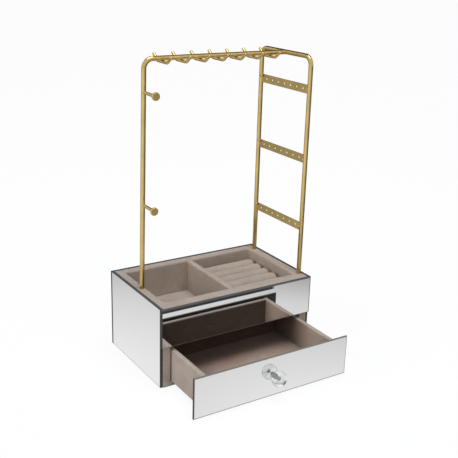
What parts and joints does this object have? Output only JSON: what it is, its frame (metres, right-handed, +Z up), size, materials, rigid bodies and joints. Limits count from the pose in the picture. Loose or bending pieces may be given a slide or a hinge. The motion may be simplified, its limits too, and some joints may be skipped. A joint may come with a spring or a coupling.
{
  "type": "jewelry holder",
  "caption": "Mirrored jewellery case with a velvet tray and ring rolls, a drawer with a crystal knob, and a gilt wire stand with hooks, pegs and pierced earring strips.",
  "frame": {"origin": "floor level under the middle of the case, without the opened drawer", "axes": "+Z up, the front with the drawer faces -Y, +X to the right of someone who faces the front"},
  "size_m": [0.24, 0.2556, 0.425],
  "materials": {
    "mirrored_glass": "polished silvered glass",
    "velvet": "short taupe velvet",
    "velvet_board": "fibreboard wrapped in short taupe velvet",
    "case_board": "fibreboard with a plain dark cover",
    "gilt_metal": "satin gilt",
    "crystal": "clear polished",
    "screw_steel": "plated",
    "dark_felt": "pressed felt"
  },
  "bodies": {
    "case": {"back_wall": "case_board", "base_board": "case_board", "base_felt": "dark_felt", "bracelet_peg_high": "gilt_metal", "bracelet_peg_low": "gilt_metal", "compartment_pad": "velvet", "earring_frame": "gilt_metal", "earring_strip_high": "gilt_metal", "earring_strip_low": "gilt_metal", "earring_strip_middle": "gilt_metal", "front_rail": "velvet_board", "hook_frame": "gilt_metal", "mirror_back": "mirrored_glass", "mirror_front_upper": "mirrored_glass", "mirror_left": "mirrored_glass", "mirror_right": "mirrored_glass", "necklace_hook_1": "gilt_metal", "necklace_hook_2": "gilt_metal", "necklace_hook_3": "gilt_metal", "necklace_hook_4": "gilt_metal", "necklace_hook_5": "gilt_metal", "necklace_hook_6": "gilt_metal", "necklace_hook_7": "gilt_metal", "ring_base": "velvet", "ring_roll_1": "velvet", "ring_roll_2": "velvet", "ring_roll_3": "velvet", "ring_roll_4": "velvet", "ring_roll_5": "velvet", "side_wall_left": "velvet_board", "side_wall_right": "velvet_board", "tray_board": "case_board", "tray_divider": "velvet_board", "tray_lining": "velvet"},
    "drawer": {"drawer_back_wall": "velvet_board", "drawer_floor": "case_board", "drawer_front_mirror": "mirrored_glass", "drawer_front_wall": "velvet_board", "drawer_pad": "velvet", "drawer_side_left": "velvet_board", "drawer_side_right": "velvet_board", "knob": "crystal", "knob_screw": "screw_steel"}
  },
  "joints": [
    {"name": "drawer_slide", "type": "slide", "parent": "case", "child": "drawer", "axis": [0, -1, 0], "range_m": [-0.085, 0.025]}
  ]
}
